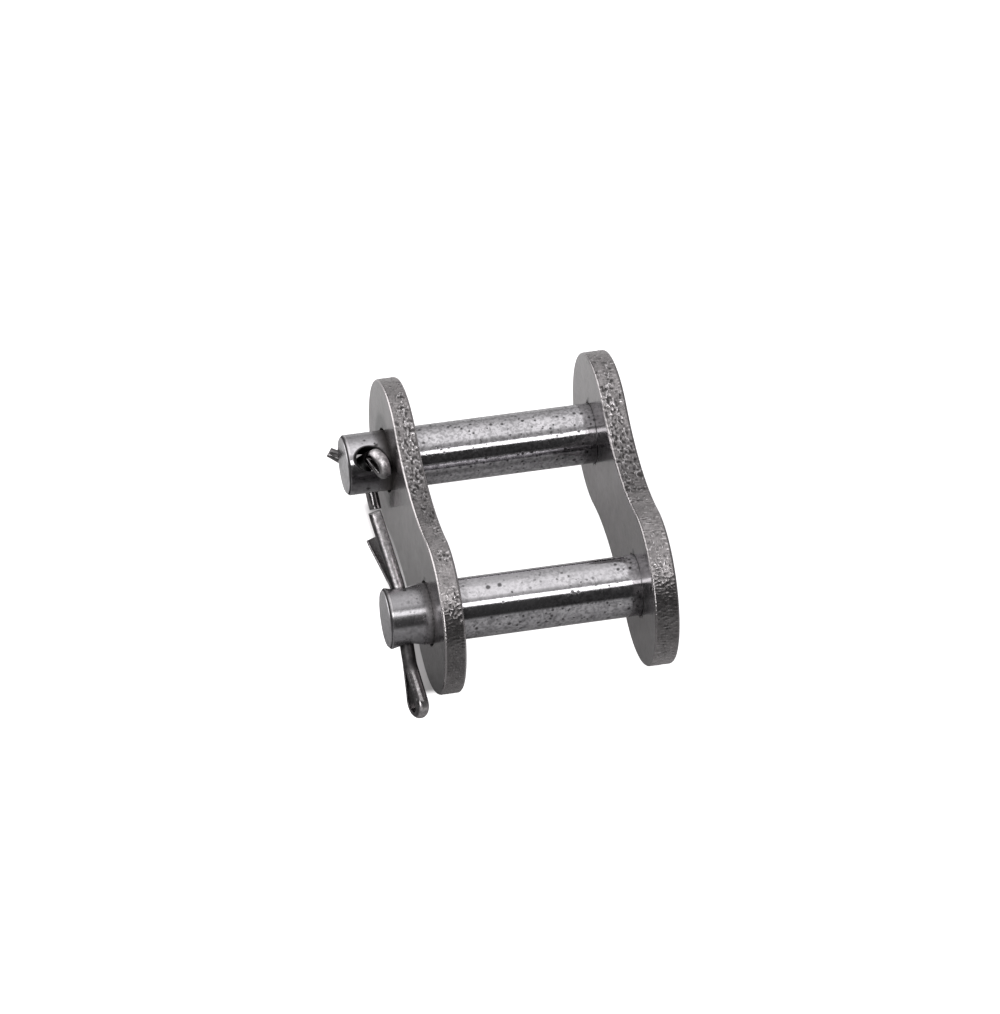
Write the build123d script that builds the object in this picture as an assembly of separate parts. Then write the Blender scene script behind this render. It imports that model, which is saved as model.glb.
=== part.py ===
from build123d import *
import os
from math import atan2, cos, radians, sin

os.makedirs("parts", exist_ok=True)

# Connecting link of a roller chain, closed with two split cotters.
# Frame: origin on the near pin's axis, halfway between the plates; +X runs along the pins from the
# cottered ends to the riveted ends, +Y from the near pin to the far pin, +Z up. Millimetres.

# ---- plates -----------------------------------------------------------------------------------
pitch = 19.05                  # near pin axis to far pin axis
inner_width = 17.9             # between the plates' facing sides
plate_height = 15.5            # across each rounded lobe
waist_height = 11.6            # across the narrow middle
cover_thickness = 2.05         # loose plate on the cottered side
fixed_thickness = 2.35         # plate that the pins are riveted into
edge_round = 0.28              # tumbled outline edges
bore_break = 0.15              # small chamfer at the loose plate's bores

# ---- pins -------------------------------------------------------------------------------------
pin_diameter = 5.75
pin_stickout = 4.05            # free end past the loose plate
pin_chamfer = 0.25
slip_clearance = 0.05          # radial, pin in the loose plate's bore
rivet_height = 0.8
rivet_spread = 0.25            # how far the upset head grows past the pin's radius
rivet_slope = 0.45             # radial fall of the head's flank
rivet_dimple_radius = 1.5      # shallow crater that the riveting tool leaves
rivet_dimple_depth = 0.18

# ---- cotter holes -----------------------------------------------------------------------------
hole_diameter = 2.4
hole_sink_depth = 0.38         # 90 degree countersink, measured at the pin's crest
near_hole_inset = 1.8          # hole axis to the pin's free end
far_hole_inset = 2.1
near_hole_turn = 130.0         # hole axis from +Z towards -Y, degrees
far_hole_turn = 32.0

# ---- cotters: half-round wire bent double -----------------------------------------------------
# Each strand is a row of bend points in the cotter's own frame, from the eye's crown to the leg's
# tip: x along the hole from eye to tips, y across the split, z sideways. The radii are those of
# the bends between the first and the last point.
cotter_diameter = 1.3          # both legs closed together
leg_gap = 0.1                  # daylight between the flats of the closed legs
half_gap = leg_gap / 2

near_roll = 12.0               # split direction round the hole, from the pin's girth towards +X
near_crown = (-8.95, 0, 0.33)
near_bend_radii = (0.85, 3, 3)
near_front_strand = [near_crown, (-8.95, 1.08, 0.36), (-4.4, half_gap, -0.06),
                     (2.95, half_gap, -0.23), (10.05, 0.95, -1.97)]
near_back_strand = [near_crown, (-8.95, -1.08, 0.3), (-4.4, -half_gap, -0.02),
                    (2.95, -half_gap, -0.28), (7.6, -1.15, -1.68)]

far_roll = 152.4
far_crown = (-3.71, 1.77, -0.4)
far_outer_radii = (0.7, 0.8, 2, 1)
far_outer_strand = [far_crown, (-4.36, 1.13, -0.6), (-3.77, 0.24, -0.55), (-1.8, -half_gap, -0.33),
                    (3.35, -0.3, 0.15), (3.8, -2.8, 1.6)]
far_inner_radii = (0.35, 0.6, 0.9, 1, 3)
far_inner_strand = [far_crown, (-3.06, 2.41, -0.2), (-3.15, 1.08, -0.1), (-2.65, half_gap, -0.15),
                    (3.2, -0.2, 0.1), (3.85, 2.5, 0.3), (4.2, 4.03, 0.9)]

pin_radius = pin_diameter / 2
lobe_radius = plate_height / 2
wire_radius = cotter_diameter / 2
cover_inner_x = -inner_width / 2
cover_outer_x = cover_inner_x - cover_thickness
fixed_inner_x = inner_width / 2
fixed_outer_x = fixed_inner_x + fixed_thickness
pin_end_x = cover_outer_x - pin_stickout


def plate_blank(inner_x, thickness):
    """Waisted outline of four tangent arcs, extruded along +X from inner_x, outline edges rounded."""
    half_pitch = pitch / 2
    half_waist = waist_height / 2
    flank = (half_pitch**2 + half_waist**2 - lobe_radius**2) / (2 * (lobe_radius - half_waist))
    turn = atan2(half_waist + flank, half_pitch)
    touch_y = lobe_radius * cos(turn)
    touch_z = lobe_radius * sin(turn)
    low, high = (touch_y, -touch_z), (touch_y, touch_z)
    far_low, far_high = (pitch - touch_y, -touch_z), (pitch - touch_y, touch_z)
    outline = Wire([
        ThreePointArc(high, (-lobe_radius, 0), low),
        ThreePointArc(low, (half_pitch, -half_waist), far_low),
        ThreePointArc(far_low, (pitch + lobe_radius, 0), far_high),
        ThreePointArc(far_high, (half_pitch, half_waist), high),
    ])
    face = Plane.YZ.offset(inner_x) * Face(outline)
    blank = extrude(face, thickness)
    rims = [side.outer_wire().edges() for side in blank.faces().filter_by(Axis.X)]
    return fillet([edge for rim in rims for edge in rim], edge_round)


def bored_plate(inner_x, thickness, bore_radius, chamfer_width=0.0):
    """A plate with its two pin bores, their mouths broken by chamfer_width."""
    plate = plate_blank(inner_x, thickness)
    middle_x = inner_x + thickness / 2
    for y in (0, pitch):
        axis = Plane(origin=(middle_x, y, 0), z_dir=(1, 0, 0))
        plate -= axis * Cylinder(bore_radius, thickness * 2)
        if chamfer_width:
            for end in (-1, 1):
                mouth = Plane(origin=(middle_x + end * thickness / 2, y, 0), z_dir=(end, 0, 0))
                plate -= mouth * Cone(bore_radius - chamfer_width, bore_radius + chamfer_width,
                                      2 * chamfer_width)
    return plate


def hole_direction(turn):
    """Unit vector along a cotter hole, turned from +Z towards -Y."""
    return Vector(0, -sin(radians(turn)), cos(radians(turn)))


def pin(y, hole_inset, hole_turn):
    """Turned pin, drilled across near its free end and riveted over the fixed plate."""
    head_x = fixed_outer_x + rivet_height
    head_radius = pin_radius + rivet_spread
    profile = Polyline(
        (pin_end_x, 0),
        (pin_end_x, pin_radius - pin_chamfer),
        (pin_end_x + pin_chamfer, pin_radius),
        (fixed_outer_x, pin_radius),
        (fixed_outer_x, head_radius),
        (head_x - rivet_slope, head_radius),
        (head_x, head_radius - rivet_slope),
        (head_x, rivet_dimple_radius),
        (head_x - rivet_dimple_depth, 0),
        close=True,
    )
    body = revolve(Face(Wire(profile.edges())), Axis.X)
    centre = Vector(pin_end_x + hole_inset, 0, 0)
    direction = hole_direction(hole_turn)
    drill_radius = hole_diameter / 2
    cutter = Plane(origin=centre, z_dir=direction) * Cylinder(drill_radius, pin_diameter * 2)
    sink_floor = pin_radius - hole_sink_depth
    for end in (-1, 1):
        seat = Plane(origin=centre + direction * end * (sink_floor + drill_radius / 2),
                     z_dir=direction * end)
        cutter += seat * Cone(drill_radius, 2 * drill_radius, drill_radius)
    return Pos(0, y, 0) * (body - cutter)


def strand(points, radii):
    """Half-round wire along the bend points, its flat facing the other strand at the crown."""
    path = FilletPolyline(*points, radius=list(radii))
    crown = Plane(origin=points[0], x_dir=(-1, 0, 0), z_dir=path % 0)
    round_side = Circle(wire_radius) & Pos(wire_radius, 0) * Rectangle(2 * wire_radius, 4 * wire_radius)
    return sweep(crown * round_side, path=path)


def cotter(y, hole_inset, hole_turn, roll, wires):
    """Both strands, set into the hole of the pin at y."""
    inward = -hole_direction(hole_turn)
    round_pin = Vector(1, 0, 0).cross(inward)
    split = Vector(sin(radians(roll)), 0, 0) + round_pin * cos(radians(roll))
    frame = Plane(origin=(pin_end_x + hole_inset, y, 0), x_dir=inward, z_dir=inward.cross(split))
    return frame * wires


near_wires = strand(near_front_strand, near_bend_radii) + strand(near_back_strand, near_bend_radii)
far_wires = strand(far_outer_strand, far_outer_radii) + strand(far_inner_strand, far_inner_radii)

parts = {
    "fixed_plate": bored_plate(fixed_inner_x, fixed_thickness, pin_radius),
    "cover_plate": bored_plate(cover_outer_x, cover_thickness, pin_radius + slip_clearance, bore_break),
    "near_pin": pin(0, near_hole_inset, near_hole_turn),
    "far_pin": pin(pitch, far_hole_inset, far_hole_turn),
    "near_cotter": cotter(0, near_hole_inset, near_hole_turn, near_roll, near_wires),
    "far_cotter": cotter(pitch, far_hole_inset, far_hole_turn, far_roll, far_wires),
}
for name, shape in parts.items():
    export_step(shape, f"parts/{name}.step")
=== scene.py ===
import bpy
import math
import numpy as np
from mathutils import Matrix, Vector
from mathutils.geometry import tessellate_polygon


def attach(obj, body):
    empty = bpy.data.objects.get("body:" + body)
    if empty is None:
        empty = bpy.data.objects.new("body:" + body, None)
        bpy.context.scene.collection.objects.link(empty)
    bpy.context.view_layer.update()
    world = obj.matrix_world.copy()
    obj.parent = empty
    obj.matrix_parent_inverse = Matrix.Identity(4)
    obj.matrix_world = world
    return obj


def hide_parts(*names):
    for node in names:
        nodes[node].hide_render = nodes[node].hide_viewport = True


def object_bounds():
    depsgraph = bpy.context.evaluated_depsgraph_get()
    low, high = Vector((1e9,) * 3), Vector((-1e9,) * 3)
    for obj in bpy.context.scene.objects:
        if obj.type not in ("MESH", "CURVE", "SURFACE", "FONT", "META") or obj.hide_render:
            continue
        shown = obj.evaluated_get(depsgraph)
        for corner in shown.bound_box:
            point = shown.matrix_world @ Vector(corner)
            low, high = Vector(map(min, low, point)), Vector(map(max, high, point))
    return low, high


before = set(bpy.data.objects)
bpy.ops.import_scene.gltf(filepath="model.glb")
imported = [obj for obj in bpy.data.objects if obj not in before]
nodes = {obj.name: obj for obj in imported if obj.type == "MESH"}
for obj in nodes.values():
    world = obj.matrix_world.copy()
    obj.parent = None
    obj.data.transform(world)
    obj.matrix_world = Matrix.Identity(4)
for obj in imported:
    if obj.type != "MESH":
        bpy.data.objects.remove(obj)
cad_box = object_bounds()
scene = bpy.context.scene
MM = 0.001                          # metres in a millimetre

# ---- sizes in millimetres, the same as the solids' ----------------------------------------------
# X runs along the pins, from their free ends to the fixed plate, Y from the near pin to the far one
# and Z up; the near pin's axis is the X axis
PITCH = 19.05
PIN_RADIUS = 2.875
PIN_END = -15.05                    # the free ends of the pins, along X
COVER_SIDES = (-11.0, -8.95)        # the two sides of each plate, along X
FIXED_SIDES = (8.95, 11.3)
LOBE_RADIUS = 7.75                  # of a plate's outline about each pin
HALF_WAIST = 5.8                    # half the height of a plate between the pins
EDGE_ROUND = 0.28                   # round along both edges of a plate's rim
SLIP = 0.05                         # between the cover plate's bores and the pins
BORE_BREAK = 0.15                   # chamfer of the cover plate's bores

# ---- camera -------------------------------------------------------------------------------------
CAMERA_PLACE = Vector((-0.1396364, -0.4670606, 0.5829854))     # metres
CAMERA_RIGHT = Vector((0.97503934, -0.21531688, 0.05419342))
CAMERA_UP = Vector((0.12987838, 0.75106660, 0.64732570))
CAMERA_LENS = 289.32


def turned(right, up, back, place):
    """A matrix whose columns are the three axes and the place."""
    return Matrix([(right[i], up[i], back[i], place[i]) for i in range(3)] + [(0, 0, 0, 1)])


camera_data = bpy.data.cameras.new("camera")
camera_data.sensor_fit = "VERTICAL"
camera_data.sensor_height = 36.0
camera_data.sensor_width = 36.0
camera_data.lens = CAMERA_LENS
camera_data.clip_start = 0.05
camera_data.clip_end = 10.0
camera = bpy.data.objects.new("camera", camera_data)
scene.collection.objects.link(camera)
camera.matrix_world = turned(CAMERA_RIGHT, CAMERA_UP, CAMERA_RIGHT.cross(CAMERA_UP), CAMERA_PLACE)
scene.camera = camera
scene.view_settings.view_transform = "Standard"


# ---- surfaces -----------------------------------------------------------------------------------
def waves(shape, steps, lengths, seed):
    """Random waves on a grid, rms 1: white noise whose spectrum keeps only a band round the wave
    lengths wanted along each side, so the two lengths set both the size and the lie of the grain."""
    band = 0.35
    draw = np.random.default_rng(seed).standard_normal(shape)
    along = np.fft.fftfreq(shape[0], steps[0])[:, None] * lengths[0]
    across = np.fft.fftfreq(shape[1], steps[1])[None, :] * lengths[1]
    reach = np.hypot(along, across)
    field = np.fft.ifft2(np.fft.fft2(draw) * np.exp(-((reach - 1) / band) ** 2)).real
    return field / field.std()


def smooth(value, low, high):
    """0 below low, 1 above high and a cubic ease between."""
    t = np.clip((value - low) / (high - low), 0, 1)
    return t * t * (3 - 2 * t)


def ring_quads(rings, around, first=0):
    """Quads between neighbouring rings of so many points around, the first point numbered first."""
    ring = first + np.arange(rings - 1)[:, None] * around
    here = np.arange(around)[None, :]
    onward = (here + 1) % around
    corners = (ring + here, ring + onward, ring + around + onward, ring + around + here)
    return np.stack(corners, -1).reshape(-1, 4)


def mesh_object(name, coords, faces, curved, fields):
    """An object of coordinates in mm and faces, the first so many of them curved, with its point
    fields; a field that is shorter than the coordinates is 0 on the rest of them."""
    mesh = bpy.data.meshes.new(name)
    mesh.from_pydata((coords * MM).tolist(), [], faces)
    mesh.polygons.foreach_set("use_smooth", np.arange(len(faces)) < curved)
    for key, field in fields.items():
        values = np.zeros(len(coords))
        values[:field.size] = field.reshape(-1)
        mesh.attributes.new(key, "FLOAT", "POINT").data.foreach_set("value", values)
    mesh.update()
    obj = bpy.data.objects.new(name, mesh)
    scene.collection.objects.link(obj)
    return obj


# ---- plates -------------------------------------------------------------------------------------
OUTLINE_POINTS = 1350
BORE_POINTS = 96
ROUND_ROWS = 8                      # rows of points across one round of the rim
RIM_STEP = 0.065                    # between the rows across the wall of the rim
RIM_LEVEL = 0.06                    # mean depth of the rim's dents
WORM_DEPTH = 0.03                   # how far the worms, and the grain, go up and down from it
GRAIN_DEPTH = 0.005
QUIET = 0.1                         # strength of the worms outside the patches
PATCH_EDGE = (0.5, 1.2)             # share of a patch's half lengths over which it fades out
PATCH_WANDER = 0.3                  # how far that edge is pushed in and out by the swell
DEEPEST_DENT = 0.15
MARKED_DENT = 0.12                  # the depth that the field "dent" counts as 1


def plate_outline(count):
    """count points spread evenly by arc length round a plate's outline, their outward normals and the
    outline's length. The outline is four tangent arcs: two lobes about the pins and two hollow waist
    arcs, whose radius makes them touch the lobes."""
    half_pitch = PITCH / 2
    flank = (half_pitch**2 + HALF_WAIST**2 - LOBE_RADIUS**2) / (2 * (LOBE_RADIUS - HALF_WAIST))
    turn = math.atan2(HALF_WAIST + flank, half_pitch)
    out, off = math.pi - turn, HALF_WAIST + flank
    arcs = (  # centre y, centre z, radius, first and last angle, side of the arc that is outside
        (0, 0, LOBE_RADIUS, turn, 2 * math.pi - turn, 1),
        (half_pitch, -off, flank, out, turn, -1),
        (PITCH, 0, LOBE_RADIUS, -out, out, 1),
        (half_pitch, off, flank, 2 * math.pi - turn, math.pi + turn, -1),
    )
    lengths = np.array([radius * abs(last - first) for _, _, radius, first, last, _ in arcs])
    ends = np.concatenate([[0], np.cumsum(lengths)])
    walked = np.arange(count) * ends[-1] / count
    arc = np.searchsorted(ends, walked, side="right") - 1
    table = np.array(arcs)[arc]
    share = (walked - ends[arc]) / lengths[arc]
    angle = table[:, 3] + (table[:, 4] - table[:, 3]) * share
    ray = np.stack([np.cos(angle), np.sin(angle)], 1)
    return table[:, :2] + table[:, 2:3] * ray, ray * table[:, 5:6], ends[-1]


def rim_dents(place, length, thickness, patches, scratch, seed):
    """How far the rim is beaten in, in mm, on a grid of outline points by rows across the plate:
    close worms of pits and crests in the patches, a fine grain and cross scratches elsewhere. Each
    patch gives its middle (y in mm, share across the plate), its half lengths the same way and its
    strength. The waves are drawn on a wider grid, so that the two edges of the rim don't match."""
    points, rows = len(place), int(round(thickness / RIM_STEP))
    shape = (points, 4 * rows)
    steps = (length / points, RIM_STEP)
    worms = 0.75 * waves(shape, steps, (0.5, 0.48), seed)[:, :rows]
    worms += 0.65 * waves(shape, steps, (0.95, 0.85), seed + 4)[:, :rows]
    grain = waves(shape, steps, (0.36, 0.34), seed + 3)[:, :rows]
    scratches = waves(shape, steps, (0.3, 1.3), seed + 1)[:, :rows]
    swell = waves(shape, steps, (1.8, 1.3), seed + 2)[:, :rows]
    share = (np.arange(rows) + 0.5)[None] / rows
    beaten = np.full((points, rows), QUIET)
    for along, across, half_along, half_across, strength in patches:
        off = np.hypot((place[:, :1] - along) / half_along, (share - across) / half_across)
        beaten = np.maximum(beaten, strength * (1 - smooth(off + PATCH_WANDER * swell, *PATCH_EDGE)))
    depth = WORM_DEPTH * beaten * worms + GRAIN_DEPTH * grain
    depth += scratch * (1 + QUIET - beaten) * scratches
    return np.clip(depth + RIM_LEVEL, 0, DEEPEST_DENT)


def beaten_rim(sides, patches, scratch, seed):
    """A plate's rim as rings of points: the outline carried across the plate along a profile of two
    quarter rounds and a straight wall, pushed in by the dents. With it come two fields: how far up
    the rounds a point is, 0 at the flat sides and 1 on the wall, and the depth of its dent."""
    low, high = sides
    place, normal, length = plate_outline(OUTLINE_POINTS)
    dents = rim_dents(place, length, high - low, patches, scratch, seed)
    rows = dents.shape[1]
    wall = (np.arange(rows) + 0.5) / rows
    wall = low + EDGE_ROUND + (high - low - 2 * EDGE_ROUND) * wall
    quarter = np.linspace(0, math.pi / 2, ROUND_ROWS)
    across = EDGE_ROUND * (1 - np.cos(quarter))
    inward = EDGE_ROUND * (1 - np.sin(quarter))
    x = np.concatenate([low + across, wall, high - across[::-1]])
    inset = np.concatenate([inward, np.zeros(rows), inward[::-1]])
    column = np.clip(np.interp(x, wall, np.arange(rows)), 0, rows - 1)
    before = np.floor(column).astype(int)
    after = np.minimum(before + 1, rows - 1)
    share = column - before
    on_wall = 1 - inset / EDGE_ROUND
    depth = (dents[:, before] * (1 - share) + dents[:, after] * share) * on_wall
    rings = np.empty((len(x), OUTLINE_POINTS, 3))
    rings[:, :, 0] = x[:, None]
    rings[:, :, 1:] = place - normal * (inset + depth).T[:, :, None]
    return rings, np.repeat(on_wall, OUTLINE_POINTS), depth.T


def bore(y, sides, radius, chamfer):
    """Rings of points down a round bore about the axis at y, its mouths chamfered if chamfer is over 0."""
    low, high = sides
    throat = [(low + chamfer, radius), (high - chamfer, radius)] if chamfer else []
    profile = [(low, radius + chamfer), *throat, (high, radius + chamfer)]
    x, reach = np.array(profile).T[:, :, None]
    angle = np.arange(BORE_POINTS) * 2 * math.pi / BORE_POINTS
    rings = np.broadcast_arrays(x, y + reach * np.cos(angle), reach * np.sin(angle))
    return np.stack(rings, -1)


def flat_side(coords, loops, along):
    """Triangles of a flat side between the first loop and the others, which are holes in it. They
    face along X where along is true and against X otherwise."""
    outlines = [[Vector((coords[v, 1], coords[v, 2], 0)) for v in loop] for loop in loops]
    triangles = np.concatenate(loops)[np.array(tessellate_polygon(outlines))]
    a, b, c = (coords[triangles[:, k], 1:] for k in range(3))
    area = (b[:, 0] - a[:, 0]) * (c[:, 1] - a[:, 1]) - (b[:, 1] - a[:, 1]) * (c[:, 0] - a[:, 0])
    wrong = (area > 0) != along
    triangles[wrong] = triangles[wrong][:, ::-1]
    return triangles.tolist()


def plate(name, node, body, sides, bore_radius, chamfer, patches, scratch, seed):
    """A waisted plate: its beaten rim, the bores for both pins and two flat sides that join them."""
    rim, on_wall, dents = beaten_rim(sides, patches, scratch, seed)
    bores = [bore(y, sides, bore_radius, chamfer) for y in (0, PITCH)]
    coords = np.concatenate([rings.reshape(-1, 3) for rings in (rim, *bores)])
    faces, low_loops, high_loops = [], [], []
    first = 0
    for rings, facing in ((rim, 1), (bores[0], -1), (bores[1], -1)):
        levels, around = rings.shape[:2]
        faces += ring_quads(levels, around, first)[:, ::facing].tolist()
        low_loops.append(np.arange(first, first + around))
        first += levels * around
        high_loops.append(np.arange(first - around, first))
    curved = len(faces)
    faces += flat_side(coords, low_loops, False) + flat_side(coords, high_loops, True)
    obj = mesh_object(name, coords, faces, curved, {"rim": on_wall, "dent": dents / MARKED_DENT})
    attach(obj, body)
    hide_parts(node)
    return obj


COVER_PATCHES = [(15.0, 0.75, 5.5, 0.55, 1.0), (13.0, 0.45, 4.5, 0.9, 0.85), (6.0, 0.8, 3.5, 0.45, 0.6),
                 (0.2, 0.7, 0.9, 0.6, 0.8), (-4.7, 0.75, 1.2, 0.5, 0.75)]
FIXED_PATCHES = [(15.0, 0.3, 5.0, 0.6, 1.0), (11.5, 0.6, 4.5, 0.9, 0.7), (7.0, 0.2, 2.0, 0.4, 0.7),
                 (21.5, 0.5, 2.5, 1.0, 0.4), (-3.0, 0.5, 3.0, 1.0, 0.3)]
cover = plate("cover_link_plate", "cover_plate", "cover", COVER_SIDES, bore_radius=PIN_RADIUS + SLIP,
              chamfer=BORE_BREAK, patches=COVER_PATCHES, scratch=0.006, seed=11)
fixed = plate("fixed_link_plate", "fixed_plate", "pinned_half", FIXED_SIDES, bore_radius=PIN_RADIUS,
              chamfer=0.0, patches=FIXED_PATCHES, scratch=0.008, seed=47)


# ---- cotters ------------------------------------------------------------------------------------
WIRE_RADIUS = 0.65
WIRE_CORNER = 0.09                  # small round where the flat meets the round back
HALF_GAP = 0.05                     # half the gap between the two strands in a hole
STATION = 0.07                      # between the rings along a straight wire
BEND_STATIONS = 14                  # rings in one bend
SHEAR_REACH = 1.2                   # length of the end that leans with the sheared tip
MARK_DEPTH = 0.0035                 # of the drawing marks along the wire, as a share of its section
MARK_COLUMNS = 64                   # columns that the marks are drawn on, more than the section has
MARK_STEP = 0.06                    # between those columns
CREST = (0.38, 0.56)                # distance from the flat over which the wear and painted highlight on the crest begin
WEAR_AND_SHEEN_FADE = 0.6                    # length over which the wear and painted highlight fade out


def bent_line(points, radii, back):
    """Stations along a line of bend points with its corners rounded by arcs: places, directions and
    the direction of the wire's round back. In a bend the last two turn about the arc's axis by the
    angle walked so far, so that the section never twists."""
    points = np.array(points, float)
    runs = np.diff(points, axis=0)
    ways = runs / np.linalg.norm(runs, axis=1, keepdims=True)
    back = np.array(back, float)
    back -= back @ ways[0] * ways[0]
    back /= np.linalg.norm(back)
    places, heads, backs = [], [], []
    start = points[0]

    def straight(to, way, back):
        stations = max(int(np.linalg.norm(to - start) / STATION), 1)
        share = np.arange(stations) / stations
        places.append(start + (to - start) * share[:, None])
        heads.append(np.repeat(way[None], stations, 0))
        backs.append(np.repeat(back[None], stations, 0))

    for corner, way, onward, radius in zip(points[1:-1], ways[:-1], ways[1:], radii):
        axis = np.cross(way, onward)
        turn = math.atan2(np.linalg.norm(axis), way @ onward)
        axis /= np.linalg.norm(axis)
        inside = np.cross(axis, way)
        entry = corner - way * radius * math.tan(turn / 2)
        straight(entry, way, back)
        angle = np.linspace(0, turn, BEND_STATIONS, endpoint=False)[:, None]
        places.append(entry + radius * (inside * (1 - np.cos(angle)) + way * np.sin(angle)))
        heads.append(way * np.cos(angle) + inside * np.sin(angle))
        angle = np.concatenate([angle, [[turn]]])
        turned_back = (back * np.cos(angle) + np.cross(axis, back) * np.sin(angle)
                       + axis * (axis @ back) * (1 - np.cos(angle)))
        backs.append(turned_back[:-1])
        back = turned_back[-1]
        start = entry + radius * (inside * (1 - math.cos(turn)) + way * math.sin(turn))
    straight(points[-1], ways[-1], back)
    places.append(points[-1:])
    heads.append(ways[-1:])
    backs.append(back[None])
    return np.concatenate(places), np.concatenate(heads), np.concatenate(backs)


def wire_section():
    """Half-round section, counterclockwise: a half circle about the middle of the flat, its two
    corners eased by arcs of WIRE_CORNER and its flat closed by a straight row. Columns are the
    distance towards the back and the distance sideways."""
    back_points, corner_points, flat_points = 25, 6, 9
    tilt = math.asin(WIRE_CORNER / (WIRE_RADIUS - WIRE_CORNER))
    round_back = np.linspace(-math.pi / 2 + tilt, math.pi / 2 - tilt, back_points)
    arc = WIRE_RADIUS * np.stack([np.cos(round_back), np.sin(round_back)], 1)
    hub = (WIRE_RADIUS - WIRE_CORNER) * math.cos(tilt)
    ease = np.linspace(math.pi / 2 - tilt, math.pi, corner_points + 1)[1:]
    high = np.array([WIRE_CORNER, hub]) + WIRE_CORNER * np.stack([np.cos(ease), np.sin(ease)], 1)
    flat = np.stack([np.zeros(flat_points), np.linspace(hub, -hub, flat_points + 2)[1:-1]], 1)
    low = high[::-1] * (1, -1)
    return np.concatenate([arc, high, flat, low])


def hole_axes(turn, roll):
    """Three axes of a cross hole: down the hole, across the split between the strands, and across
    both. turn is the angle of the hole about the pin and roll that of the split about the hole,
    in degrees."""
    turn, roll = math.radians(turn), math.radians(roll)
    inward = np.array([0, math.sin(turn), -math.cos(turn)])
    round_pin = np.cross([1, 0, 0], inward)
    split = math.sin(roll) * np.array([1.0, 0, 0]) + math.cos(roll) * round_pin
    return np.stack([inward, split, np.cross(inward, split)])


def tapered(walked, tips):
    """How the section shrinks and leans towards the two tips: the share left towards the back and
    sideways, eased over the stretch given in mm, and the lean of the sheared end."""
    shares = np.ones((len(walked), 2))
    lean = np.zeros(len(walked))
    for way, facing, (stretch, *left, slant) in zip((walked, walked[-1] - walked), (1, -1), tips):
        shares *= 1 - (1 - smooth(way, 0, stretch))[:, None] * (1 - np.array(left))
        lean += slant * (1 - smooth(way, 0, SHEAR_REACH)) * facing
    return shares, lean


def wear_and_sheen_field(off_crown, section, wear_and_sheen_spans):
    """How strongly the wire is rubbed light, as wear and as a painted highlight. Each stretch gives from
    and to so many mm off the crown, minus towards the first tip, whether it is all round or on the
    crest alone, and its strength."""
    field = np.zeros((len(off_crown), len(section)))
    for low, high, all_round, strength in wear_and_sheen_spans:
        reach = smooth(off_crown, low - WEAR_AND_SHEEN_FADE, low) * (1 - smooth(off_crown, high, high + WEAR_AND_SHEEN_FADE))
        around = np.ones(len(section)) if all_round else smooth(section[:, 0], *CREST)
        field += strength * reach[:, None] * around
    return field


def cotter(name, node, body, y, inset, turn, roll, strands, tips, wear_and_sheen_spans, seed):
    """A split cotter: one half-round wire from tip to tip through the eye, its section carried along
    the bent line and drawn with fine marks. The points of both strands start at the crown of the eye
    and lie on the axes of the hole, which crosses the pin at y, inset from its free end."""
    first, second = (bent_line(points, radii, (-1, 0, 0)) for points, radii in strands)
    place = np.concatenate([first[0][:0:-1], second[0]])
    head = np.concatenate([-first[1][:0:-1], second[1]])
    back = np.concatenate([first[2][:0:-1], second[2]])
    side = np.cross(head, back)
    walked = np.concatenate([[0], np.cumsum(np.linalg.norm(np.diff(place, axis=0), axis=1))])
    section = wire_section()
    shares, lean = tapered(walked, tips)
    marks = waves((len(place), MARK_COLUMNS), (STATION, MARK_STEP), (1.6, 0.25), seed)
    marks = marks[:, :len(section)] * MARK_DEPTH
    across = section[None] * shares[:, None] * (1 - marks[:, :, None])
    grid = (place[:, None] + back[:, None] * across[:, :, :1] + side[:, None] * across[:, :, 1:]
            + head[:, None] * (lean[:, None] * across[:, :, 0])[:, :, None])
    coords = grid.reshape(-1, 3) @ hole_axes(turn, roll) + np.array([PIN_END + inset, y, 0])
    rings, around = grid.shape[:2]
    quads = ring_quads(rings, around).tolist()
    ends = [list(range(around))[::-1], list(range((rings - 1) * around, rings * around))]
    # wear, which also serves as a painted highlight
    wear_and_sheen = wear_and_sheen_field(walked - walked[len(first[0]) - 1], section, wear_and_sheen_spans)
    obj = mesh_object(name, coords, quads + ends, len(quads), {"wear_and_sheen": wear_and_sheen})
    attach(obj, body)
    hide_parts(node)
    return obj


# a strand is its bend points and the radii of its bends; a tip is the stretch, the two shares and
# the lean that tapered takes
NEAR_CROWN = (-8.95, 0, 0.33)
NEAR_FRONT = ([NEAR_CROWN, (-8.95, 1.08, 0.36), (-4.4, HALF_GAP, -0.06), (2.95, HALF_GAP, -0.23),
               (10.05, 0.95, -1.97)], (0.85, 3, 3))
NEAR_BACK = ([NEAR_CROWN, (-8.95, -1.08, 0.3), (-4.4, -HALF_GAP, -0.02), (2.95, -HALF_GAP, -0.28),
              (7.6, -1.15, -1.68)], (0.85, 3, 3))
NEAR_TIPS = ((0.6, 0.95, 0.97, 0.2), (0.6, 0.9, 0.97, 0.3))
# stretches rubbed light: wear, and a painted highlight along the near cotter's legs and at both eyes
NEAR_WEAR_AND_SHEEN = [(-30, -12.5, False, 1.0), (-0.9, 0.9, False, 1.0), (12.5, 30, True, 0.25)]
FAR_CROWN = (-3.71, 1.77, -0.4)
FAR_OUTER = ([FAR_CROWN, (-4.36, 1.13, -0.6), (-3.77, 0.24, -0.55), (-1.8, -HALF_GAP, -0.33),
              (3.35, -0.35, 0.12), (3.76, -2.98, 1.48)], (0.7, 0.8, 2, 1))
FAR_INNER = ([FAR_CROWN, (-3.06, 2.41, -0.2), (-3.15, 1.08, -0.1), (-2.65, HALF_GAP, -0.15),
              (3.2, 0.35, -0.25), (3.85, 2.5, 0.3), (4.2, 4.03, 0.9)], (0.35, 0.6, 0.9, 1, 3))
FAR_TIPS = ((1.4, 0.75, 0.85, 0.2), (0.6, 0.9, 0.97, 0.2))
FAR_WEAR_AND_SHEEN = [(-2.2, -0.2, False, 1.0)]
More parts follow.
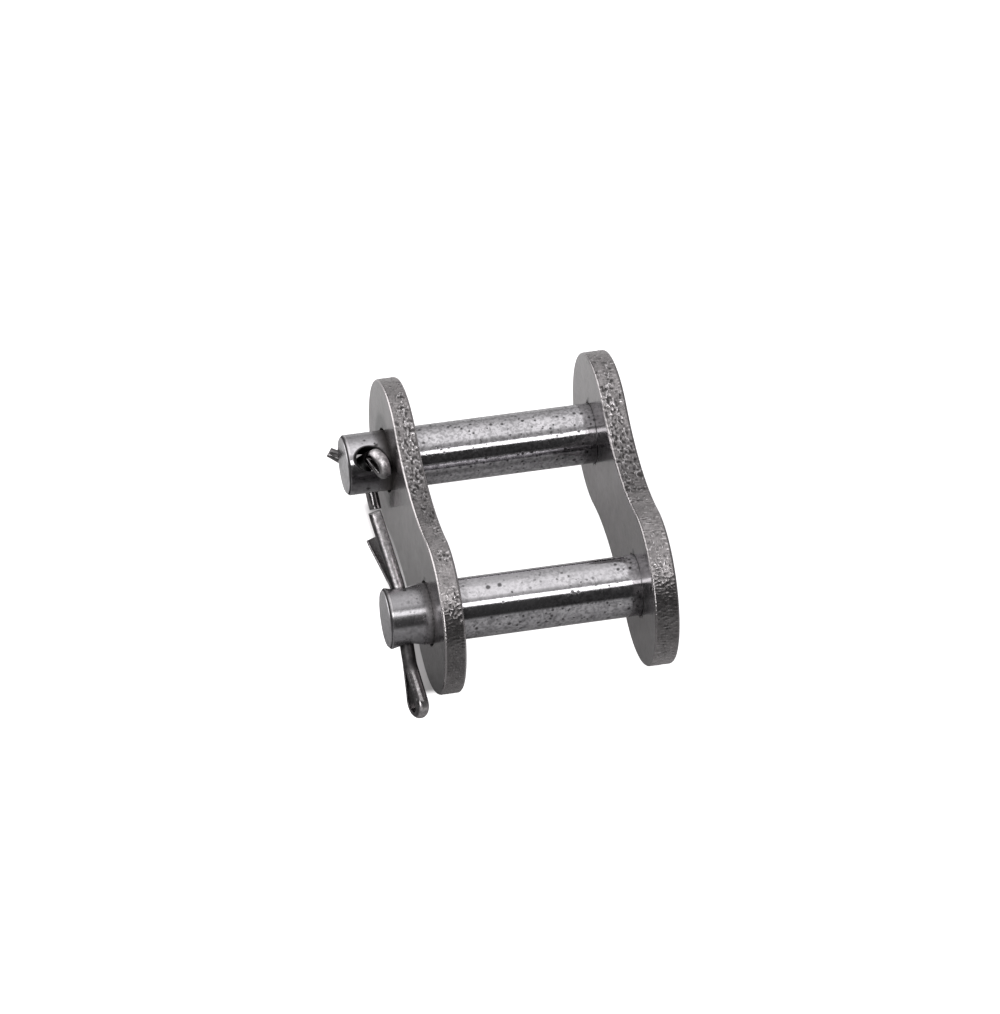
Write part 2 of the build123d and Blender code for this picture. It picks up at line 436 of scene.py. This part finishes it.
near_wire = cotter("near_split_cotter", "near_cotter", "lower_cotter", y=0, inset=1.8, turn=130.0,
                   roll=12.0, strands=(NEAR_FRONT, NEAR_BACK), tips=NEAR_TIPS, wear_and_sheen_spans=NEAR_WEAR_AND_SHEEN, seed=5)
far_wire = cotter("far_split_cotter", "far_cotter", "pinned_half", y=PITCH, inset=2.1, turn=32.0,
                  roll=152.4, strands=(FAR_OUTER, FAR_INNER), tips=FAR_TIPS, wear_and_sheen_spans=FAR_WEAR_AND_SHEEN, seed=8)


# ---- node helpers -------------------------------------------------------------------------------
SOFT = "SMOOTHSTEP"


class Net:
    """Adds nodes to one tree and joins them. A value is a number, a colour or another node's socket."""

    def __init__(self, tree):
        self.tree = tree

    def put(self, socket, value):
        if isinstance(value, bpy.types.NodeSocket):
            self.tree.links.new(value, socket)
        else:
            socket.default_value = value

    def add(self, kind, inputs=None, **settings):
        node = self.tree.nodes.new(kind)
        for key, value in settings.items():
            setattr(node, key, value)
        for key, value in (inputs or {}).items():
            self.put(node.inputs[key], value)
        return node

    def place(self):
        """Object coordinates, and their x, y and z."""
        place = self.add("ShaderNodeTexCoord").outputs["Object"]
        return (place, *self.add("ShaderNodeSeparateXYZ", {0: place}).outputs)

    def field(self, name):
        """The mesh's own field of that name."""
        return self.add("ShaderNodeAttribute", attribute_name=name).outputs["Fac"]

    def math(self, operation, a, b=0.0, clamp=False):
        return self.add("ShaderNodeMath", {0: a, 1: b}, operation=operation, use_clamp=clamp).outputs[0]

    def times(self, product, *factors):
        """All the values multiplied."""
        for factor in factors:
            product = self.math("MULTIPLY", product, factor)
        return product

    def without(self, mask, other):
        """The mask less the other one, never below 0."""
        return self.math("SUBTRACT", mask, other, clamp=True)

    def distance(self, a, b):
        """The length of the hypotenuse over a and b."""
        squares = self.math("ADD", self.math("POWER", a, 2.0), self.math("POWER", b, 2.0))
        return self.math("SQRT", squares)

    def shift(self, value, by):
        """The value raised by so many mm."""
        return self.math("ADD", value, by * MM)

    def past(self, value, limit):
        """1 above the limit in mm and 0 below it."""
        return self.math("GREATER_THAN", value, limit * MM)

    def short_of(self, value, limit):
        """1 below the limit in mm and 0 above it."""
        return self.math("LESS_THAN", value, limit * MM)

    def fit(self, value, low, high, to_low=0.0, to_high=1.0, kind="LINEAR"):
        """Carries low to high over to to_low to to_high, and holds it there."""
        return self.add("ShaderNodeMapRange", {0: value, 1: low, 2: high, 3: to_low, 4: to_high},
                        interpolation_type=kind).outputs[0]

    def above(self, value, zone, kind="LINEAR"):
        """0 up to the start of a zone in mm, 1 from its end."""
        low, high = zone
        return self.fit(value, low * MM, high * MM, 0.0, 1.0, kind)

    def below(self, value, zone, kind="LINEAR"):
        """1 up to the start of a zone in mm, 0 from its end."""
        low, high = zone
        return self.fit(value, low * MM, high * MM, 1.0, 0.0, kind)

    def blend(self, factor, a, b):
        """The number a where the factor is 0 and b where it is 1."""
        return self.add("ShaderNodeMix", {0: factor, 2: a, 3: b}, data_type="FLOAT").outputs[0]

    def mix(self, factor, a, b):
        """The colour a where the factor is 0 and b where it is 1."""
        return self.add("ShaderNodeMix", {0: factor, 6: a, 7: b}, data_type="RGBA").outputs[2]

    def noise(self, place, scale, detail=2.0, rough=0.5, distortion=0.0):
        return self.add("ShaderNodeTexNoise", {"Vector": place, "Scale": scale, "Detail": detail,
                                               "Roughness": rough, "Distortion": distortion}).outputs[0]

    def jitter(self, place, scale, reach):
        """Noise from minus reach to reach, in mm."""
        return self.fit(self.noise(place, scale), 0.0, 1.0, -reach * MM, reach * MM)

    def ramp(self, factor, stops):
        """A ramp of grey tones through stops of place and tone."""
        node = self.add("ShaderNodeValToRGB", {0: factor})
        elements = node.color_ramp.elements
        elements.remove(elements[-1])
        for i, (place, tone) in enumerate(stops):
            element = elements[0] if i == 0 else elements.new(place)
            element.position = place
            element.color = (tone, tone, tone, 1)
        return node.outputs[0]


def new_material(name):
    """An empty node material: the material, its net and its output."""
    material = bpy.data.materials.new(name)
    material.use_nodes = True
    material.node_tree.nodes.clear()
    net = Net(material.node_tree)
    return material, net, net.add("ShaderNodeOutputMaterial")


# ---- effects that the finishes share ------------------------------------------------------------
FLOAT, VECTOR = "NodeSocketFloat", "NodeSocketVector"
TINT = (1.03, 0.98, 1.0)            # red, green and blue of bare steel
SPOT_WANDER = 0.12                  # how far the cells of the spots are pushed about
MOTTLE_FINENESS = 4.5               # how many times finer the mottle is than the clouds


def effect(name, inputs, outputs):
    """An empty shader node group with the named float or vector inputs and float outputs."""
    tree = bpy.data.node_groups.new(name, "ShaderNodeTree")
    for socket, kind in inputs.items():
        tree.interface.new_socket(socket, in_out="INPUT", socket_type=kind)
    for socket in outputs:
        tree.interface.new_socket(socket, in_out="OUTPUT", socket_type=FLOAT)
    net = Net(tree)
    return tree, net, net.add("NodeGroupInput").outputs, net.add("NodeGroupOutput").inputs


def use(net, tree, **inputs):
    """One placed copy of a node group, with its own values."""
    node = net.add("ShaderNodeGroup", node_tree=tree)
    for key, value in inputs.items():
        net.put(node.inputs[key], value)
    return node.outputs


def scattered_spots():
    """Round spots scattered one to a cell, in the share of the cells asked for, their edges uneven."""
    sockets = {"Place": VECTOR, "Scale": FLOAT, "Share": FLOAT, "Size": FLOAT}
    tree, net, given, result = effect("scattered spots", sockets, ["Spots"])
    push = (SPOT_WANDER * MM,) * 3
    wander = net.noise(given["Place"], 5000.0, 1.0)
    nudge = net.add("ShaderNodeVectorMath", {0: wander, 1: push}, operation="MULTIPLY").outputs[0]
    nudged = net.add("ShaderNodeVectorMath", {0: given["Place"], 1: nudge}, operation="ADD").outputs[0]
    cells = net.add("ShaderNodeTexVoronoi", {"Vector": nudged, "Scale": given["Scale"]}).outputs
    draw = net.add("ShaderNodeSeparateColor", {0: cells["Color"]}).outputs
    chosen = net.math("LESS_THAN", draw[0], given["Share"])
    radius = net.times(given["Size"], net.blend(draw[1], 0.45, 1.0))
    spot = net.fit(net.math("DIVIDE", cells["Distance"], radius), 0.45, 1.0, 1.0, 0.0, SOFT)
    net.put(result["Spots"], net.times(spot, chosen))
    return tree


def cloudy_tone():
    """The tone of handled steel: broad clouds, and a finer mottle to go with them."""
    sockets = {"Place": VECTOR, "Scale": FLOAT}
    tree, net, given, result = effect("cloudy tone", sockets, ["Tone", "Mottle"])
    broad = net.noise(given["Place"], given["Scale"])
    fine = net.noise(given["Place"], net.times(given["Scale"], MOTTLE_FINENESS), 2.0, 0.55, 0.4)
    net.put(result["Tone"], net.fit(broad, 0.3, 0.7))
    net.put(result["Mottle"], net.fit(fine, 0.3, 0.7))
    return tree


def nearest_pin():
    """Which pin is nearer, 0 for the near pin and 1 for the far one, how far along Y a place lies past
    that pin's axis, and how far off the axis."""
    tree, net, given, result = effect("nearest pin", {"Place": VECTOR}, ["By Far", "Along", "Off"])
    axes = net.add("ShaderNodeSeparateXYZ", {0: given["Place"]}).outputs
    by_far = net.past(axes[1], PITCH / 2)
    along = net.math("SUBTRACT", axes[1], net.times(by_far, PITCH * MM))
    net.put(result["By Far"], by_far)
    net.put(result["Along"], along)
    net.put(result["Off"], net.distance(along, axes[2]))
    return tree


SPOTS, CLOUDS, PIN = scattered_spots(), cloudy_tone(), nearest_pin()


def grey(level, warm=0.0):
    """A steel grey, its red raised and its blue lowered a little by warm."""
    red, green, blue = TINT
    return (level * (red + warm), level * green, level * (blue - warm), 1.0)


def darken(net, colour, mask, depth):
    """The colour taken down by depth where the mask is 1, or raised if depth is below 0."""
    keep = net.math("SUBTRACT", 1.0, net.times(mask, depth))
    return net.add("ShaderNodeVectorMath", {0: colour, 3: keep}, operation="SCALE").outputs[0]


def shade(net, out, colour, rough, height, depth, bare=1.0):
    """Joins colour, roughness and relief to a metal shader, bare 1 for clean metal and 0 for a surface
    without reflection, as in the painted shade of the cross holes. The relief is depth mm deep where
    the height is 1."""
    bump = net.add("ShaderNodeBump", {"Height": height, "Distance": depth * MM, "Strength": 1.0})
    shader = net.add("ShaderNodeBsdfPrincipled", {
        "Base Color": colour, "Metallic": bare, "Roughness": rough, "Specular IOR Level": 0.0,
        "Normal": bump.outputs[0]})
    net.put(out.inputs[0], shader.outputs[0])


# ---- plate steel --------------------------------------------------------------------------------
# zones in mm, over which a mark comes or goes
COVER_OUTSIDE = COVER_SIDES[0]
MARKS_END = FIXED_SIDES[0] + 0.55   # along X: marks that end here spare the fixed plate's outer side
FAR_END_SHADE_END = COVER_OUTSIDE + 0.5     # along X: the painted shade round the far pin is on the outside of the cover plate alone
# off a pin's axis: painted shade in the corner between pin and plate
PIN_CORNER_SHADE = (PIN_RADIUS + 0.075, PIN_RADIUS + 0.325)
FAR_END_SHADE = (4.0, 4.9)                  # off the far pin's axis: painted shade round it
BLOT_PLACE = (1.8, 2.5)             # the middle of a blot past a pin's axis, along Y and Z
BLOT = (0.3, 0.6)                   # off the middle of the blot
# radius of the mouth of a bore in each plate, darkened as painted shade
COVER_MOUTH = PIN_RADIUS + SLIP + BORE_BREAK + 0.025
FIXED_MOUTH = PIN_RADIUS + 0.055
NEAR_END = (-5.0, -3.0)             # along Y: the end of the rim by the near pin
NEAR_END_TOP = (-1.5, 1.0)          # along Z: the upper part of that end
WAIST_START = (4.5, 6.5)            # along Y: the hollow of the rim between the pins
WAIST_END = (10.5, 15.0)
UNDERSIDE = (-3.0, -1.5)            # along Z: the lower part of the rim
# shares of the field "dent"
CRESTS = (0.24, 0.44)
PITS = (0.54, 0.78)
ROUGH_PITS = (0.3, 0.62)
# shares of the field "rim", from a flat side up its round
BURNISH_AND_HIGHLIGHT_START = (0.12, 0.5)
BURNISH_AND_HIGHLIGHT_END = (0.75, 1.0)
WALL = (0.6, 1.0)


def side_finish(net, place, x, z, pin):
    """Colour and roughness of the flat sides: cloudy satin with a few specks, painted shade round each
    pin and round the far pin's free end, and a blot over each pin."""
    cloud = use(net, CLOUDS, Place=place, Scale=350.0)
    specks = use(net, SPOTS, Place=place, Scale=700.0, Share=0.25, Size=0.2)["Spots"]
    colour = net.mix(cloud["Tone"], grey(0.38, 0.01), grey(0.46, 0.005))
    colour = darken(net, colour, cloud["Mottle"], 0.1)
    colour = darken(net, colour, net.fit(net.noise(place, 2400.0), 0.4, 0.65), 0.14)
    colour = darken(net, colour, specks, 0.5)
    # painted shade round each pin, in the corner where pin and plate meet; it is a little rougher too
    corner_shade = net.math("ADD", pin["Off"], net.jitter(place, 1500.0, 0.5))
    corner_shade = net.below(corner_shade, PIN_CORNER_SHADE, SOFT)
    colour = darken(net, colour, corner_shade, 0.75)
    # painted shade round the far pin on the outside of the cover plate
    far_end_shade = net.times(net.below(pin["Off"], FAR_END_SHADE, SOFT), pin["By Far"], net.short_of(x, FAR_END_SHADE_END))
    colour = darken(net, colour, far_end_shade, 0.6)
    blot = net.distance(net.shift(pin["Along"], -BLOT_PLACE[0]), net.shift(z, -BLOT_PLACE[1]))
    blot = net.math("ADD", blot, net.jitter(place, 1800.0, 0.4))
    blot = net.times(net.below(blot, BLOT, SOFT), net.short_of(x, MARKS_END))
    colour = darken(net, colour, blot, 0.7)
    rough = net.math("ADD", net.blend(cloud["Mottle"], 0.17, 0.22), net.times(corner_shade, 0.25))
    return colour, rough


def rim_finish(net, place, y, z, dent):
    """Colour and roughness of the beaten rims: crests rubbed bright and pits dark, darker at the end by
    the near pin and at the waist, and lighter underneath as painted light."""
    cloud = use(net, CLOUDS, Place=place, Scale=1100.0)
    colour = net.mix(cloud["Tone"], grey(0.4, 0.01), grey(0.55, 0.01))
    colour = net.mix(net.fit(dent, *CRESTS, 1.0, 0.0, SOFT), colour, grey(0.9))
    colour = darken(net, colour, net.fit(dent, *PITS, 0.0, 1.0, SOFT), 0.65)
    colour = darken(net, colour, cloud["Mottle"], 0.25)
    near_end = net.times(net.below(y, NEAR_END, SOFT), net.above(z, NEAR_END_TOP))
    colour = darken(net, colour, near_end, 0.42)
    colour = darken(net, colour, net.times(net.above(y, WAIST_START), net.below(y, WAIST_END)), 0.4)
    # painted light: the lower part of the rim lighter
    colour = darken(net, colour, net.below(z, UNDERSIDE), -0.3)
    return colour, net.fit(dent, *ROUGH_PITS, 0.2, 0.38)


def plate_steel():
    """Both plates: flat sides, beaten rims with edges rubbed bright and lightened as a painted
    highlight, and the mouths of the bores darkened as painted shade.
    """
    material, net, out = new_material("plate steel")
    place, x, y, z = net.place()
    rim = net.field("rim")
    pin = use(net, PIN, Place=place)
    on_fixed = net.past(x, 0.0)
    side_colour, side_rough = side_finish(net, place, x, z, pin)
    rim_colour, rim_rough = rim_finish(net, place, y, z, net.field("dent"))
    colour = net.mix(net.fit(rim, *WALL), side_colour, rim_colour)
    rough = net.blend(rim, side_rough, rim_rough)
    # the rounded edges rubbed bright and lightened further as a painted highlight, full on the cover plate
    # and faint on the fixed one
    edge = net.fit(rim, *BURNISH_AND_HIGHLIGHT_START, 0.0, 1.0, SOFT)
    edge = net.times(edge, net.fit(rim, *BURNISH_AND_HIGHLIGHT_END, 1.0, 0.0, SOFT))
    colour = net.mix(net.times(edge, net.blend(on_fixed, 1.0, 0.1)), colour, grey(0.68, 0.01))
    # painted shade in the mouth of each bore, deeper round the far pin
    mouth = net.math("LESS_THAN", pin["Off"], net.blend(on_fixed, COVER_MOUTH * MM, FIXED_MOUTH * MM))
    colour = darken(net, colour, mouth, net.blend(pin["By Far"], 0.5, 0.8))
    rough = net.math("ADD", rough, net.times(mouth, 0.6), clamp=True)
    relief = net.times(net.noise(place, 5200.0), net.blend(rim, 0.03, 1.0))
    shade(net, out, colour, rough, relief, 0.006)
    return material


# ---- pin steel ----------------------------------------------------------------------------------
# zones in mm along X
END_FACE = (PIN_END + 0.03, PIN_END + 0.09)
TURNED_CORNER = (PIN_END + 0.17, PIN_END + 0.27)
RING_HIGHLIGHT_START = (PIN_END + 0.27, PIN_END + 0.31)
RING_HIGHLIGHT_END = (PIN_END + 0.35, PIN_END + 0.43)
PAST_COVER = COVER_OUTSIDE - 0.3    # the end of the marks that lie on the free ends alone
FREE_END = (-11.4, COVER_OUTSIDE)   # over which the duller tone of the free ends fades out
NEAR_ROOT = -11.7                   # where the painted shade on each free end by the cover plate starts, to be full at ROOT_FULL
FAR_ROOT = -12.3
ROOT_FULL = -11.2
ROOT_END = COVER_OUTSIDE + 0.1
BY_COVER = (-8.0, -7.2)             # the ends of the span between the plates, darkened as painted shade
BY_FIXED = (7.4, 8.8)
FAR_SHADE = (-6.0, 7.0)             # over which the painted shade on the underside of the far pin grows
FIXED_CORNER_SHADE = (6.8, 8.9)            # painted shade under both pins, close to the fixed plate
PITTED = (7.8, 8.2)                 # the pitted ring by the fixed plate
# along Z: the undersides and the upper parts that the marks keep to
UNDER = (1.3, 1.6)
FREE_UNDER = (1.6, 2.1)
FREE_UPPER = (0.9, 1.7)
FREE_TOP = (2.2, 2.4)
# along Y past the pin's axis: the backs of the pins
BACK = (0.4, 1.2)
NEAR_FREE_BACK = (-0.9, -0.7)
FAR_FREE_BACK = (-0.6, 0.0)
PITTED_BACK = (-1.4, -1.2)
# off the pin's axis: the wall of the cross hole lies deeper than the pin's own surface
CROSS_HOLE = (PIN_RADIUS - 0.135, PIN_RADIUS - 0.035)


def worn_span(net, place, x, pin, free, under):
    """Colour, mottle and flecks of the ground steel: worms and flecks in patches, dense on the far pin
    and under the near one, thin on the free ends; painted shade darkens the far pin's back and
    underside and the span close to the plates."""
    far, between = pin["By Far"], net.short_of(x, MARKS_END)
    cloud = use(net, CLOUDS, Place=place, Scale=420.0)
    worms = net.fit(net.noise(place, 3200.0, 1.0, 0.5, 0.4), 0.42, 0.6)
    patch = net.fit(net.noise(place, 230.0, 1.0), 0.4, 0.6, 0.35, 1.0)
    patch = net.math("MAXIMUM", patch, net.math("MAXIMUM", far, under))
    patch = net.times(patch, net.blend(free, 1.0, 0.35))
    flecks = net.times(use(net, SPOTS, Place=place, Scale=1800.0, Share=0.75, Size=0.42)["Spots"], patch)
    pricks = use(net, SPOTS, Place=place, Scale=900.0, Share=0.3, Size=0.3)["Spots"]
    colour = net.mix(cloud["Tone"], grey(0.68, -0.02), grey(0.8, -0.02))
    colour = darken(net, colour, net.times(worms, patch), 0.36)
    colour = darken(net, colour, flecks, 0.75)
    colour = darken(net, colour, pricks, 0.75)
    # painted shade: the far pin darker at its back, and on its underside more so towards the fixed plate
    colour = darken(net, colour, net.times(far, net.above(pin["Along"], BACK), between), 0.24)
    colour = darken(net, colour, net.times(far, under), net.blend(net.above(x, FAR_SHADE), 0.1, 0.35))
    blotches = net.fit(net.noise(place, 1300.0), 0.5, 0.62)
    colour = darken(net, colour, net.times(blotches, under), 0.25)
    # painted shade: the span darker close to both plates
    by_plates = net.math("MAXIMUM", net.above(x, BY_FIXED), net.below(x, BY_COVER))
    colour = darken(net, colour, net.without(net.times(by_plates, between), free), 0.2)
    return colour, cloud["Mottle"], net.math("ADD", flecks, pricks)


def pin_steel():
    """Both pins: the worn span, duller and darker free ends with a dark ring at the turned corner as
    painted shade and a bright ring behind it as a painted highlight, painted shade by both plates,
    pits by the fixed plate and painted shade in the cross holes."""
    material, net, out = new_material("pin steel")
    place, x, _, z = net.place()
    pin = use(net, PIN, Place=place)
    far, along = pin["By Far"], pin["Along"]
    under = net.times(net.below(z, UNDER), net.short_of(x, MARKS_END))
    upper = net.above(z, FREE_UPPER)
    free = net.below(x, FREE_END, SOFT)
    past_cover = net.short_of(x, PAST_COVER)
    end_face = net.below(x, END_FACE)
    colour, mottle, flecks = worn_span(net, place, x, pin, free, under)

    # the free ends darker: the near one all over; the extra darkening at its top and back, and at the far
    # one's back, is painted shade
    near_tone = net.math("MAXIMUM", net.above(z, FREE_TOP), net.above(along, NEAR_FREE_BACK))
    far_tone = net.times(net.above(along, FAR_FREE_BACK), 0.2)
    free_tone = net.blend(far, net.blend(near_tone, 0.2, 0.43), far_tone)
    colour = darken(net, colour, net.without(free, end_face), free_tone)
    # painted shade: the underside of the far pin's free end darker
    far_under = net.times(past_cover, far, net.below(z, FREE_UNDER))
    colour = darken(net, colour, net.without(far_under, end_face), 0.6)
    # painted shade in the cross holes: near black, and without reflection
    hollow = net.times(net.below(pin["Off"], CROSS_HOLE), net.without(past_cover, end_face))
    colour = darken(net, colour, hollow, 0.93)
    # painted shade under both pins where they meet the fixed plate
    colour = darken(net, colour, net.times(net.above(x, FIXED_CORNER_SHADE, SOFT), under), 0.6)

    # painted shade on each free end where it leaves the cover plate, deeper on the far pin
    root = net.fit(x, net.blend(far, NEAR_ROOT * MM, FAR_ROOT * MM), ROOT_FULL * MM)
    root = net.times(root, net.short_of(x, ROOT_END))
    colour = net.mix(net.times(root, net.blend(far, 0.55, 0.95)), colour, grey(0.12, 0.05))
    # painted shade: a near-black ring at the turned corner of each free end
    corner = net.times(net.without(net.below(x, TURNED_CORNER, SOFT), end_face), upper)
    colour = net.mix(corner, colour, grey(0.06))
    # painted highlight: a bright ring just behind the turned corner
    ring_highlight = net.times(net.above(x, RING_HIGHLIGHT_START), net.below(x, RING_HIGHLIGHT_END), upper)
    colour = net.mix(net.times(ring_highlight, 0.45), colour, grey(1.0))

    rough = net.math("ADD", net.blend(mottle, 0.07, 0.12), net.times(flecks, 0.2))
    rough = net.math("ADD", rough, net.times(free, net.blend(far, 0.13, 0.06)))
    rough = net.math("ADD", rough, net.times(net.math("ADD", root, hollow), 0.4))
    pitted = net.times(net.above(x, PITTED), net.above(along, PITTED_BACK), net.short_of(x, MARKS_END))
    rough = net.math("ADD", rough, net.times(pitted, 0.45))
    ripple = net.times(net.noise(place, 1700.0, 1.0), net.blend(far, 0.35, 1.0))
    relief = net.math("SUBTRACT", ripple, net.times(flecks, 0.5))
    shade(net, out, colour, rough, relief, 0.0045, net.math("SUBTRACT", 1.0, hollow))
    return material


# ---- cotter wire --------------------------------------------------------------------------------
# off the pin's axis, in mm
IN_THE_PIN = (PIN_RADIUS - 0.475, PIN_RADIUS - 0.075)
CLOSE_TO_PIN = (4.8, 5.4)


def cotter_wire():
    """Both cotters: drawn dull and dark, darker in the pins and close to the near one as painted shade,
    and light where they are worn, which also serves as a painted highlight."""
    material, net, out = new_material("cotter wire")
    place = net.place()[0]
    wear_and_sheen = net.field("wear_and_sheen")
    pin = use(net, PIN, Place=place)
    cloud = use(net, CLOUDS, Place=place, Scale=1500.0)
    # painted shade: the wire darker inside the pins and close to the near pin, under its free end
    inside = net.below(pin["Off"], IN_THE_PIN)
    shaded_by_pin = net.without(net.below(pin["Off"], CLOSE_TO_PIN), pin["By Far"])
    colour = net.mix(cloud["Tone"], grey(0.15), grey(0.3))
    colour = darken(net, colour, inside, 0.55)
    colour = darken(net, colour, shaded_by_pin, 0.55)
    worn = net.mix(net.fit(net.noise(place, 2600.0), 0.4, 0.6), grey(1.0), grey(0.6))
    # light where worn, which also serves as a painted highlight
    colour = net.mix(wear_and_sheen, colour, worn)
    colour = darken(net, colour, cloud["Mottle"], 0.25)
    dull = net.blend(net.math("MAXIMUM", inside, shaded_by_pin), 0.18, 0.5)
    shade(net, out, colour, net.blend(wear_and_sheen, dull, 0.45), net.noise(place, 3500.0), 0.01)
    return material


for finish, pieces in ((plate_steel(), (cover, fixed)), (cotter_wire(), (near_wire, far_wire)),
                       (pin_steel(), (nodes["near_pin"], nodes["far_pin"]))):
    for piece in pieces:
        piece.data.materials.clear()
        piece.data.materials.append(finish)


# ---- floor --------------------------------------------------------------------------------------
FLOOR_HALF = 1.5                    # metres
# the strip beside the cover plate with a painted shadow, along X and Y in mm
STRIP_X = ((-13.2, -11.6), (-10.4, -9.6))
STRIP_Y = ((-3.7, -2.8), (19.8, 21.5))
COVERED_REACH = 8.0                 # how near a piece has to stand to shade the strip
COVERED = (0.6, 0.85)               # shares of open sky over which the strip fades
SPOT_PLACE = (-11.7, 26.3)          # the painted shadow spot behind the far pin's free end
SPOT = (0.2, 2.4)                   # off the middle of the spot
# how the floor looks in the steel, as painted shade: its tone across the plates and from front to back
TONE_SPLIT = (-10.0, -4.0)          # along X
TONE_DEPTH = (-20.0, 60.0)          # along Y
TONE_LEFT = [(0.0, 0.3), (0.12, 0.3), (0.23, 0.29), (0.45, 0.68), (0.69, 0.8), (1.0, 0.8)]
TONE_RIGHT = [(0.0, 0.5), (0.12, 0.5), (0.23, 0.55), (0.45, 0.84), (0.69, 0.95), (1.0, 0.95)]


def floor_shade(net, x, y):
    """Where a shadow is painted on the floor: a soft strip beside the foot of the cover plate, for as long
    as a piece stands close over it, and a soft spot behind the far pin's free end."""
    strip = net.times(net.above(x, STRIP_X[0], SOFT), net.below(x, STRIP_X[1], SOFT),
                      net.above(y, STRIP_Y[0], SOFT), net.below(y, STRIP_Y[1], SOFT))
    sky = net.add("ShaderNodeAmbientOcclusion", {"Distance": COVERED_REACH * MM}, samples=16)
    strip = net.times(strip, net.fit(sky.outputs["AO"], *COVERED, 1.0, 0.0))
    off_spot = net.distance(net.shift(x, -SPOT_PLACE[0]), net.shift(y, -SPOT_PLACE[1]))
    return net.math("MAXIMUM", strip, net.below(off_spot, SPOT, SOFT))


def floor_paper():
    """White paper to the camera, and to the steel paper in painted shade, darker on the left and
    towards the front.
    """
    material, net, out = new_material("floor paper")
    _, x, y, _ = net.place()
    shaded = floor_shade(net, x, y)
    # the painted shadow darkens the paper and its glow as the camera sees it
    seen = net.add("ShaderNodeBsdfPrincipled", {
        "Base Color": net.mix(shaded, grey(0.85), grey(0.4)), "Roughness": 0.9,
        "Emission Color": (1, 1, 1, 1), "Emission Strength": net.blend(shaded, 1.0, 0.15)})
    # painted shade on the floor as the steel sees it: darker on the left and towards the front
    depth = net.above(y, TONE_DEPTH)
    tone = net.mix(net.above(x, TONE_SPLIT), net.ramp(depth, TONE_LEFT), net.ramp(depth, TONE_RIGHT))
    mirrored = net.add("ShaderNodeBsdfDiffuse", {"Color": tone})
    to_camera = net.add("ShaderNodeLightPath").outputs["Is Camera Ray"]
    paper = net.add("ShaderNodeMixShader", {0: to_camera, 1: mirrored.outputs[0], 2: seen.outputs[0]})
    net.put(out.inputs[0], paper.outputs[0])
    return material


floor_z = cad_box[0].z
corners = [(x * FLOOR_HALF, y * FLOOR_HALF, floor_z) for x, y in ((-1, -1), (1, -1), (1, 1), (-1, 1))]
mesh = bpy.data.meshes.new("floor")
mesh.from_pydata(corners, [], [(0, 1, 2, 3)])
mesh.materials.append(floor_paper())
floor = bpy.data.objects.new("floor", mesh)
scene.collection.objects.link(floor)


# ---- studio -------------------------------------------------------------------------------------
# tones of the room by the angle about X in degrees, from +Y up over the link
ROOM_AHEAD = [(-180, 0.38), (-175, 0.38), (-90, 0.2), (-20, 0.25), (-9, 0.39), (3, 0.46), (27, 0.57),
              (39, 0.68), (51, 0.91), (63, 0.97), (91, 1.0), (96, 0.66), (100, 0.5), (106, 0.36),
              (125, 0.36), (128, 0.05), (168, 0.03), (174, 0.2), (178, 0.38)]
ROOM_DIM = [(-180, 0.3), (-90, 0.2), (0, 0.16), (60, 0.2), (115, 0.3), (122, 0.05), (165, 0.05), (175, 0.2)]
ROOM_LEFT = [(-180, 0.35), (-90, 0.2), (-5, 0.3), (5, 1.6), (60, 1.6), (85, 0.7), (115, 0.4), (122, 0.06),
             (165, 0.06), (175, 0.3)]
ROOM_RIGHT = [(-180, 0.3), (0, 0.3), (60, 0.22), (120, 0.22), (180, 0.12)]
# how far a ray leans along X while each of the last three takes over
ROOM_TURNS = [(ROOM_DIM, (0.06, -0.04)), (ROOM_LEFT, (-0.28, -0.42)), (ROOM_RIGHT, (0.32, 0.5))]


def room():
    """A grey room: a ring of tones about X, and others that take over as a ray leans left or right."""
    world = bpy.data.worlds.new("studio")
    world.use_nodes = True
    net = Net(world.node_tree)
    way = net.add("ShaderNodeTexCoord").outputs["Generated"]
    lean, ahead, above = net.add("ShaderNodeSeparateXYZ", {0: way}).outputs
    turn = net.fit(net.math("ARCTAN2", above, ahead), -math.pi, math.pi)

    def ring(tones):
        return net.ramp(turn, [((angle + 180) / 360, tone) for angle, tone in tones])

    colour = ring(ROOM_AHEAD)
    for tones, (start, end) in ROOM_TURNS:
        colour = net.mix(net.fit(lean, start, end, 0.0, 1.0, SOFT), colour, ring(tones))
    background = world.node_tree.nodes["Background"]
    net.put(background.inputs["Color"], colour)
    net.put(background.inputs["Strength"], 1.0)
    return world


def card(name, place, aim, width, length, glow):
    """A rectangular soft light at place, turned to aim, its long side along X, all in metres; glow is
    its brightness."""
    data = bpy.data.lights.new(name, "AREA")
    data.shape = "RECTANGLE"
    data.size = length
    data.size_y = width
    data.energy = glow * math.pi * width * length
    lamp = bpy.data.objects.new(name, data)
    scene.collection.objects.link(lamp)
    back = (Vector(place) - Vector(aim)).normalized()
    up = back.cross(Vector((1, 0, 0))).normalized()
    lamp.matrix_world = turned(up.cross(back), up, back, place)
    lamp.visible_camera = False


scene.world = room()
card("strip light", (0, -0.0629, 0.1263), aim=(0, 0.8221, -0.3387), width=0.042, length=0.16, glow=2.2)
card("left light", (-0.23, -0.27, 0.2), aim=(0, 0.01, 0), width=0.2, length=0.12, glow=5.0)
